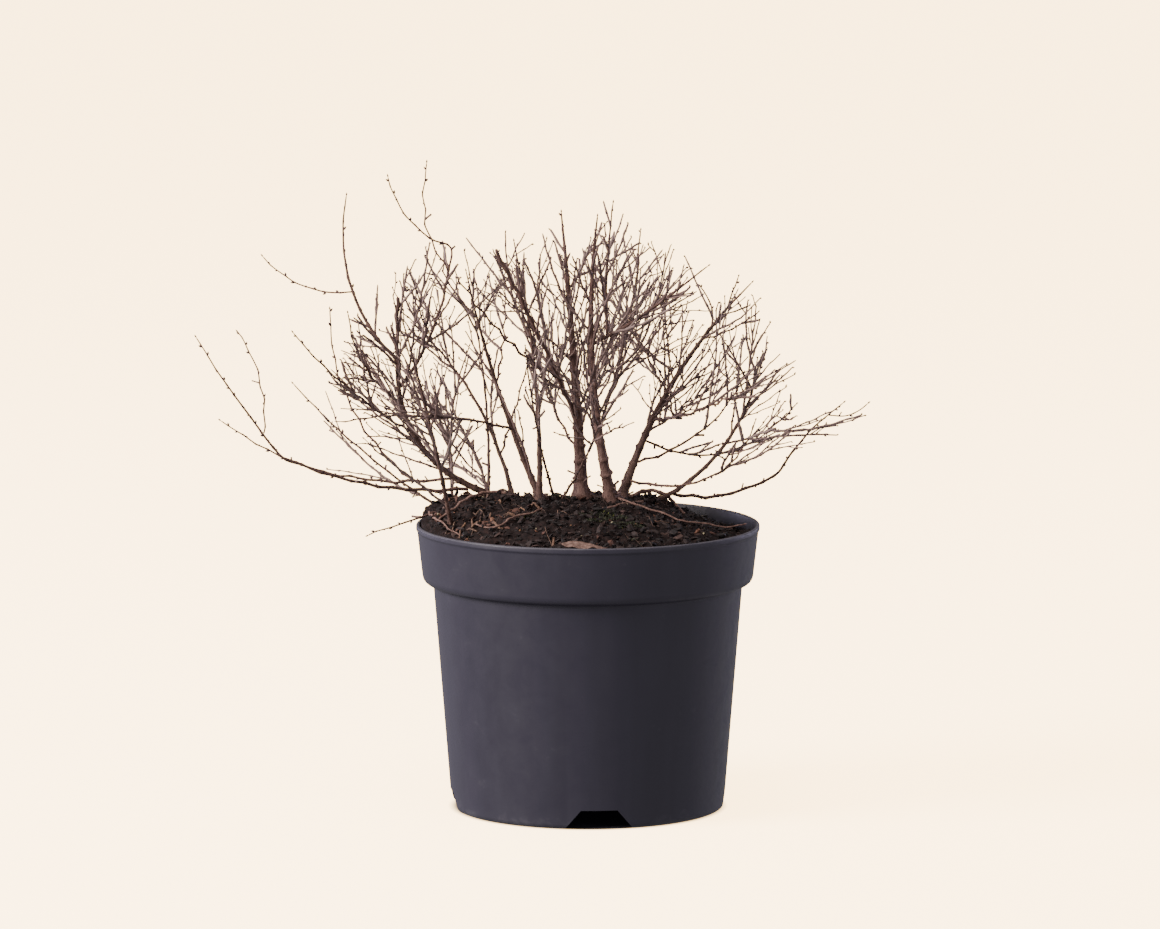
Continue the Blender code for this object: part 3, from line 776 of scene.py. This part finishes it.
class Limb:
    """A limb's line, thickness and leaf scars, with its kinks in place."""

    def __init__(self, name):
        self.nodes = [name]
        self.rng = random.Random(name)
        points, radii = middle_line(name)
        if name in CARRIED_ON:
            more, more_radii = middle_line(CARRIED_ON[name])
            points, radii = np.concatenate((points, more[1:])), np.concatenate((radii, more_radii[1:]))
            self.nodes.append(CARRIED_ON[name])
        self.is_stem = name.startswith(("trunk", "stem"))
        root_way = unit(points[0] - points[1])
        if self.is_stem:
            start = points[0] + unit(root_way - UP) * STEM_BURIED
        else:
            start = points[0] + root_way * max(1.5, radii[1] * 1.6)
        points = np.concatenate(([start], points))
        radii = np.concatenate(([radii[1]], [radii[1]], radii[1:]))
        self.girth = float(radii[1])
        self.spacing = 1.1 if self.girth > STOUT else 1.5
        self.line, self.radii, self.at = smooth_line(points, radii, self.spacing)
        if not name.startswith("trunk"):
            self.radii *= UNDER_THE_SCARS
        self.length = float(self.at[-1])
        if name in PRUNED:
            self.radii = np.maximum(self.radii, PRUNED[name])
        else:
            self.radii = np.maximum(self.radii, FINEST)
        self.radii[-1] *= 0.8 if name in PRUNED else 0.35
        self.scars = []
        spot = self.rng.uniform(4, 9)
        while spot < self.length - 3:
            self.scars.append(spot)
            spot += self.rng.uniform(*SCAR_SPACING)
        self.kink()
        middle_x = float(self.line[-1][0])
        self.side = "left" if middle_x < LEFT_OF else "right" if middle_x > RIGHT_OF else "middle"

    def kink(self):
        """Steps the line to one side and the other at each leaf scar."""
        swing = min(0.85, 0.85 / self.girth) * (0.6 if self.is_stem else 1.0)
        marks, moves = [0.0], [np.zeros(3)]
        sideways = random_unit(self.rng)
        for i, spot in enumerate(self.scars):
            marks.append(spot)
            moves.append((sideways * (-1) ** i + random_unit(self.rng) * 0.6) * swing)
        marks.append(self.length)
        moves.append(np.zeros(3))
        moves = np.array(moves)
        for axis in range(3):
            self.line[:, axis] += np.interp(self.at, marks, moves[:, axis])

    def tube(self):
        """The limb's points and faces with the bark's ridges, scars and root flare."""
        sides = 20 if self.girth > STOUTEST else 14 if self.girth > STOUT else 9
        turns = np.arange(sides) * 2 * math.pi / sides
        relief = np.ones((len(self.at), sides))
        deep = 0.10 if self.girth > STOUTEST else 0.06
        for ridges in (3, 5, 8):
            if ridges * 2 >= sides:
                continue
            drift = np.cumsum([self.rng.gauss(0, 0.16) for _ in self.at])
            strength = deep * 3 / ridges
            relief += strength * np.cos(turns[None, :] * ridges + drift[:, None])
        for spot in self.scars:
            swell = np.exp(-((self.at - spot) / 0.9) ** 2)
            facing = 0.5 + 0.5 * np.cos(turns - self.rng.uniform(0, 2 * math.pi))
            relief += swell[:, None] * (0.12 + 0.34 * facing[None, :])
        for _ in range(int(self.length / KNOT_EVERY) if self.girth > STOUT else 0):
            knot = np.exp(-((self.at - self.rng.uniform(0, self.length * 0.8)) / 1.8) ** 2)
            facing = np.maximum(0, np.cos(turns - self.rng.uniform(0, 2 * math.pi))) ** 3
            relief += knot[:, None] * facing[None, :] * self.rng.uniform(0.2, 0.5)
        if self.is_stem:
            flare = np.exp(-np.maximum(self.at - STEM_BURIED, 0) / 3.5)
            spread = 0.10 + 0.14 * np.cos(turns * 3 + self.rng.uniform(0, 6))
            relief *= 1 + flare[:, None] * spread[None, :]
        return rings_along(self.line, self.radii, sides, relief)

    def spot(self, along):
        """The place, heading and radius at a distance along the limb."""
        i = min(len(self.at) - 2, max(1, int(np.searchsorted(self.at, along))))
        return self.line[i], unit(self.line[i + 1] - self.line[i - 1]), float(self.radii[i])


def bark(name, colours, ridge, coarse):
    """Thin bark: dark in the furrows, grey-brown on the ridges, drawn out along upright wood."""
    made = new_material(name, IOR=1.45, Specular_IOR_Level=0.3)
    place = add_node(made, "TexCoord").outputs["Object"]
    drawn_out = add_node(made, "Mapping", {"Vector": place, "Scale": (1.0, 1.0, 0.28)}).outputs[0]
    ridges = mottling(made, drawn_out, ridge, 4.0, 0.65)
    patches = mottling(made, place, coarse, 2.0, 0.5)
    both = add_node(made, "Mix", {0: 0.4, 2: ridges, 3: patches}, data_type="FLOAT").outputs[0]
    shades = add_node(made, "ValToRGB", {"Fac": both}, [
        (0.34, colours[0]), (0.66, colours[2]), (0.5, colours[1]),
    ])
    rough = add_node(made, "MapRange", {"Value": ridges, "To Min": 0.62, "To Max": 0.9}).outputs["Result"]
    bump = add_node(made, "Bump", {"Height": ridges, "Strength": 0.7, "Distance": 0.25 * MM})
    wire(made, Base_Color=shades.outputs["Color"], Roughness=rough, Normal=bump.outputs["Normal"])
    return made


# The trunks' bark is the palest and coarsest, and the boughs' has the finest ridges.
old_bark = bark("old_spirea_bark", TRUNK_BARK, 1.1, 9.0)
stem_bark = bark("spirea_bark", STEM_BARK, 0.9, 8.0)
young_bark = bark("young_spirea_bark", BOUGH_BARK, 0.7, 6.0)

wood_names = [name for name in sorted(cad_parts) if name not in ("pot", "root_ball")]
limbs = [Limb(name) for name in wood_names if name not in CARRIED_ON.values()]
for kind in ("stems", "boughs"):
    for side in THIRDS:
        members = [limb for limb in limbs if limb.side == side and limb.is_stem == (kind == "stems")]
        pile = Pile()
        for limb in members:
            pile.add(*limb.tube(), 1 if limb.nodes[0].startswith("trunk") else 0)
        skins = [stem_bark if kind == "stems" else young_bark, old_bark]
        piece = pile.piece(f"{kind}_{side}", skins, "bark")
        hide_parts(*[node for limb in members for node in limb.nodes])


# The twigs: last year's and the year before's shoots, thin as wire. One rule grows them: each leaves its
# limb a golden angle round from the last, zigzags from bud to bud, bends up and outward to the light, forks,
# and stops at the crown's outline and at its openings.
# The outline's top and foot are (place across, height) in millimetres, seen from the front.
CROWN_TOP = (
    (-250, 190), (-190, 232), (-170, 262), (-158, 304), (-140, 332), (-112, 358), (-85, 364), (-62, 366),
    (-45, 368), (-24, 364), (-4, 366), (10, 382), (33, 376), (52, 366), (72, 344), (84, 335), (97, 345),
    (112, 322), (121, 297), (142, 279), (168, 268), (190, 262),
)
CROWN_FOOT = (
    (-250, 300), (-190, 250), (-140, 232), (-118, 206), (-92, 202), (-76, 222), (-64, 262), (-50, 268),
    (-38, 250), (0, 236), (20, 226), (32, 232), (44, 240), (54, 222), (110, 212), (150, 228), (190, 240),
)
CROWN_SIDES = (-172.0, 176.0)
SIGHT_SLOPE = 0.14
# An opening is its place across, its height, and half its width and height, in millimetres.
SKY_GAPS = (
    (-48, 284, 10, 25), (-72, 257, 8, 9), (31, 256, 5, 9), (86, 241, 9, 6), (-128, 318, 6, 7),
    (62, 221, 22, 8),
)
CROWN_DEPTH = 134.0
CROWN_LEVEL = 215.0
RAGGED_EDGE = (-24.0, 13.0, -9.0)
LIGHT_FROM = np.array((0.0, 0.0, 130.0))
# The chance that a twig grows at a place midway along a limb, as (place across, chance).
TWIG_COVER = (
    (-96, 0.66), (-84, 0.46), (-70, 0.28), (-55, 0.16), (-36, 0.4), (-17, 1.0), (40, 1.0), (55, 0.7),
    (70, 0.46), (84, 0.28), (99, 0.3), (114, 0.3), (133, 0.6),
)
BARE_LIMBS = ("arch_low", "arch_low_fork", "arch_high", "arch_upswept", "runner_left", "spread_low")
BARE_FOOT = 0.1
GOLDEN = math.radians(137.508)
SPROUT_SPACING = (5.2, 9.2)
SPROUT_ANGLE = (24.0, 44.0)
FORK_ANGLE = (20.0, 38.0)
INTERNODE = (5.5, 9.5)
TWIG_LENGTH = (36.0, 104.0)
WHIP_LENGTH = (55.0, 120.0)
WHIPS = {"left": 1, "middle": 0, "right": 0}
# Each order of twig has its thick and thin radius, its chance of a fork at a bud, and its number of sides.
TWIG_ORDERS = ((0.84, 0.46, 0.40, 7), (0.60, 0.40, 0.26, 6), (0.48, 0.35, 0.0, 5))
CELL = 11.0
CROWDED = 4
ZIGZAG = 0.15
BEND = 0.07
WANDER = 0.06
LIFT = 0.08
STUB_CHANCE = 0.16
SPUR_CHANCE = 0.14
TRUNK_SPURS = 5
BUDDED_UNDER = 1.3
SPENT_HEAD_CHANCE = {"left": 0.045, "middle": 0.006, "right": 0.012}
TWIG_COLOURS = ("#725C57", "#63504C", "#7A655F", "#84706A")
BUD_COLOURS = ("#45322F", "#584039", "#725549")
BUD = ((0.0, 0.55), (0.28, 1.0), (0.62, 0.78), (1.0, 0.10))


def crown_top(place):
    """Height of the crown's outline over a place, lower towards the front and back."""
    top = np.interp(place[0], *zip(*CROWN_TOP))
    inward = max(0.0, 1 - (place[1] / CROWN_DEPTH) ** 2)
    return CROWN_LEVEL + (top - CROWN_LEVEL) * math.sqrt(inward)


def in_crown(place):
    """Whether a place is above the bare lower stems, where twigs grow."""
    return place[2] > np.interp(place[0], *zip(*CROWN_FOOT))


def outside(place, edge):
    """Whether a place is past the crown's outline, moved up by an edge in millimetres."""
    return place[2] > crown_top(place) + edge or not CROWN_SIDES[0] < place[0] < CROWN_SIDES[1]


def in_gap(place):
    """Whether a place is in one of the crown's openings, as seen from the front and a little above."""
    seen = place[2] + SIGHT_SLOPE * place[1]
    return any(((place[0] - x) / wide) ** 2 + ((seen - z) / high) ** 2 < 1 for x, z, wide, high in SKY_GAPS)


def outward(heading, spin):
    """The way straight out from a shoot's side at an angle round it."""
    across = unit(np.cross(heading, (0.13, 0.91, 0.4)))
    return across * math.cos(spin) + np.cross(heading, across) * math.sin(spin)


def leaning(heading, out, degrees):
    """A heading that leans out from a shoot's by an angle, and seldom points down."""
    bent = math.radians(degrees)
    way = unit(heading * math.cos(bent) + out * math.sin(bent))
    return unit(way * (1, 1, -0.4)) if way[2] < 0 else way


def add_bud(buds, rng, place, way, size, stout=0.27):
    line = [place + way * size * t for t, _ in BUD]
    radii = [size * stout * share for _, share in BUD]
    buds.add(*rings_along(line, radii, 5), min(2, int(abs(rng.gauss(0, 1.0)))))


def grow(twigs, buds, rng, place, heading, length, order, shade):
    """Grows one twig with its buds, and the twigs that fork from it. Returns its tip and the tip's heading.

    A twig stops where others have filled the space round it.
    """
    thick, thin, fork_chance, sides = TWIG_ORDERS[order]
    thick *= 0.85 + 0.3 * min(1, length / TWIG_LENGTH[1])
    line, radii = [place - heading * 0.4], [thick * 1.25]
    sideways = unit(np.cross(heading, random_unit(rng)))
    spin = rng.uniform(0, 2 * math.pi)
    swing, travelled = 1, 0.0
    bend = random_unit(rng) * BEND
    edge = rng.triangular(*RAGGED_EDGE)
    forks = []
    while travelled < length:
        step = rng.uniform(*INTERNODE)
        light = unit(line[-1] - LIGHT_FROM)
        heading = unit(heading + light * LIFT + sideways * swing * ZIGZAG + bend + random_unit(rng) * WANDER)
        end = line[-1] + heading * step
        cell = tuple((end // CELL).astype(int))
        if outside(end, edge) or in_gap(end) or crowding[cell] >= CROWDED:
            break
        crowding[cell] += 1
        travelled += step
        radius = thick + (thin - thick) * min(1, travelled / length)
        middle = line[-1] + heading * step * 0.5 + sideways * swing * step * 0.03
        line += [middle, end - heading * 0.6, end]
        radii += [radius, radius, radius * 1.28]
        swing = -swing
        spin += GOLDEN
        out = outward(heading, spin)
        if travelled > 4 and rng.random() < fork_chance:
            way = leaning(heading, out, rng.uniform(*FORK_ANGLE))
            forks.append((end, way, (length - travelled) * rng.uniform(0.35, 0.8) + 6))
        else:
            size = rng.uniform(1.3, 2.1)
            add_bud(buds, rng, end + out * radius * 0.6, unit(heading * 1.5 + out), size, 0.3)
    if len(line) < 3:
        return None
    radii[-1] = radii[-2] * 0.8
    twigs.add(*rings_along(line, radii, sides), shade)
    add_bud(buds, rng, line[-1] - heading * 0.3, heading, rng.uniform(1.2, 1.9))
    for at, way, reach in forks:
        grow(twigs, buds, rng, at, way, reach, order + 1, shade)
    return line[-1], heading


def add_spur(spurs, rng, limb, along, out):
    """A short dead snag or fruiting spur on the bare part of a stem."""
    at, heading, radius = limb.spot(along)
    way = unit(out + heading * rng.uniform(0.2, 0.9))
    long = rng.uniform(2.0, 6.0) + radius
    thick = rng.uniform(0.4, 0.75)
    line = [at + way * long * t for t in (0, 0.35, 0.7, 0.96, 1.0)]
    radii = [thick * 1.5, thick * 1.1, thick, thick * 1.15, thick * 0.6]
    spurs.add(*rings_along(line, radii, 7), rng.randrange(2))


def add_spent_head(heads, rng, tip, heading):
    """What is left of a flower head: short stalks in a tuft, each with a dry seed capsule."""
    for _ in range(rng.randint(6, 11)):
        way = unit(heading + random_unit(rng) * 0.9)
        stalk = tip + way * rng.uniform(1.0, 3.4)
        heads.add(*rings_along([tip, (tip + stalk) / 2, stalk], [0.2, 0.16, 0.16], 5))
        add_bud(heads, rng, stalk - way * 0.2, way, rng.uniform(1.2, 1.9), 0.42)


crowding = collections.Counter()
twigs = {side: Pile() for side in THIRDS}
buds = {side: Pile() for side in THIRDS}
spurs = Pile()
spent_heads = Pile()
for limb in limbs:
    rng = limb.rng
    side = limb.side
    spin = rng.uniform(0, 2 * math.pi)
    along = rng.uniform(*SPROUT_SPACING)
    while along < limb.length - 2:
        at, heading, radius = limb.spot(along)
        share = along / limb.length
        spin += GOLDEN
        out = outward(heading, spin)
        beyond = outside(at, -4)
        bare = limb.nodes[0] in BARE_LIMBS or share < BARE_FOOT or not in_crown(at)
        cover = np.interp(at[0], *zip(*TWIG_COVER)) * (0.8 + 0.45 * share)
        if not beyond and not bare and rng.random() < cover:
            way = leaning(heading, out, rng.uniform(*SPROUT_ANGLE))
            length = rng.uniform(*TWIG_LENGTH) * (1.15 - 0.55 * share)
            tip = grow(twigs[side], buds[side], rng, at, way, length, 0, rng.randrange(4))
            if tip and rng.random() < SPENT_HEAD_CHANCE[side]:
                add_spent_head(spent_heads, rng, *tip)
        elif (beyond or share > 0.8) and rng.random() < STUB_CHANCE:
            way = leaning(heading, out, SPROUT_ANGLE[1])
            grow(twigs[side], buds[side], rng, at, way, rng.uniform(4, 16), 2, rng.randrange(4))
        elif share < 0.6 and rng.random() < SPUR_CHANCE:
            add_spur(spurs, rng, limb, along, out)
        elif radius < BUDDED_UNDER:
            way = unit(heading * 1.2 + out)
            add_bud(buds[side], rng, at + out * radius * 0.7, way, rng.uniform(1.7, 2.7), 0.34)
        along += rng.uniform(*SPROUT_SPACING)
    if limb.is_stem and not limb.nodes[0].startswith("trunk"):
        for _ in range(WHIPS[side]):
            at, heading, _ = limb.spot(rng.uniform(9, 45))
            way = leaning(heading, outward(heading, rng.uniform(0, 2 * math.pi)), rng.uniform(*SPROUT_ANGLE))
            grow(twigs[side], buds[side], rng, at, way, rng.uniform(*WHIP_LENGTH), 0, rng.randrange(4))
    if limb.nodes[0].startswith("trunk"):
        for _ in range(TRUNK_SPURS):
            add_spur(spurs, rng, limb, rng.uniform(6, 20), outward(UP, rng.uniform(0, 2 * math.pi)))
    if limb.nodes[0] not in PRUNED:
        _, heading, _ = limb.spot(limb.length)
        add_bud(buds[side], rng, limb.line[-1] - heading * 0.3, heading, 2.2)

# Twigs have smooth grey-brown bark with a faint sheen, and the bud scales on them are darker.
twig_skins = [
    fine_noise_material(f"twig_bark_{i}", (code, code, "#8A7066"), 1.4, 0.62, 0.06, Specular_IOR_Level=0.35)
    for i, code in enumerate(TWIG_COLOURS)
]
bud_skins = plain_shades("bud_scale", BUD_COLOURS, 0.55)
for side in THIRDS:
    twigs[side].piece(f"twigs_{side}", twig_skins, "bark")
    buds[side].piece(f"buds_{side}", bud_skins, "bark")
spurs.piece("spurs", twig_skins[:2], "bark")
spent_heads.piece("spent_heads", bud_skins, "bark")


# Creeping shoots lie over the soil from the foot of the bush, pinker than the rest, with a small knot at
# each bud. Each is its radius and a few points (across, deep, how far above the soil) in millimetres.
CREEPERS = (
    (1.05, ((-52, 13, 1), (-62, 13, 2), (-75, 2, 2), (-86, -16, 1.5), (-95, -26, 1))),
    (0.70, ((-102, 2, 3), (-98, -24, 2), (-92, -38, 2), (-86, -50, 2), (-78, -60, 1))),
    (0.75, ((-26, -28, 0.5), (-37, -44, 1.5), (-46, -51, 2.5), (-52, -58, 2), (-57, -62, 2), (-65, -60, 1.5),
            (-72, -53, 2.5))),
    (0.70, ((14, 10, 1), (20, -2, 2), (28, -10, 2), (38, -17, 2), (48, -22, 2), (60, -24, 3), (74, -20, 5),
            (88, -16, 8), (101, -10, 10))),
    (0.95, ((5, -32, 0), (14, -24, 1.5), (24, -9, 2), (36, 8, 1))),
    (0.60, ((-34, 44, 1), (-50, 56, 2), (-62, 70, 2), (-66, 84, 3))),
    (0.65, ((30, 40, 1), (46, 52, 2), (54, 68, 3), (50, 84, 4))),
    (1.50, ((20, 26, -2), (28, 28, 2), (38, 28, 4.5), (50, 26, 4), (61, 22, 1.5), (68, 18, -2))),
)
CREEPER_COLOURS = ("#4E3A34", "#71564D", "#93776B")
KNOT_SPACING = 11.0

creepers = Pile()
for girth, points in CREEPERS:
    places = np.array([(x, y, soil_height(x, y) + lift) for x, y, lift in points])
    line, radii, at = smooth_line(places, np.linspace(girth, girth * 0.6, len(places)), 1.0)
    for axis in range(3):
        line[:, axis] += [0.9 * noise.noise((p[0] / 6, p[1] / 6, axis + 1.0)) for p in line]
    radii *= 1 + 0.35 * np.exp(-(((at % KNOT_SPACING) - KNOT_SPACING / 2) / 0.9) ** 2)
    radii[-1] *= 0.4
    creepers.add(*rings_along(line, radii, 9))
creepers.piece("creeping_shoots", [bark("shoot_bark", CREEPER_COLOURS, 1.2, 5.0)], "bark")
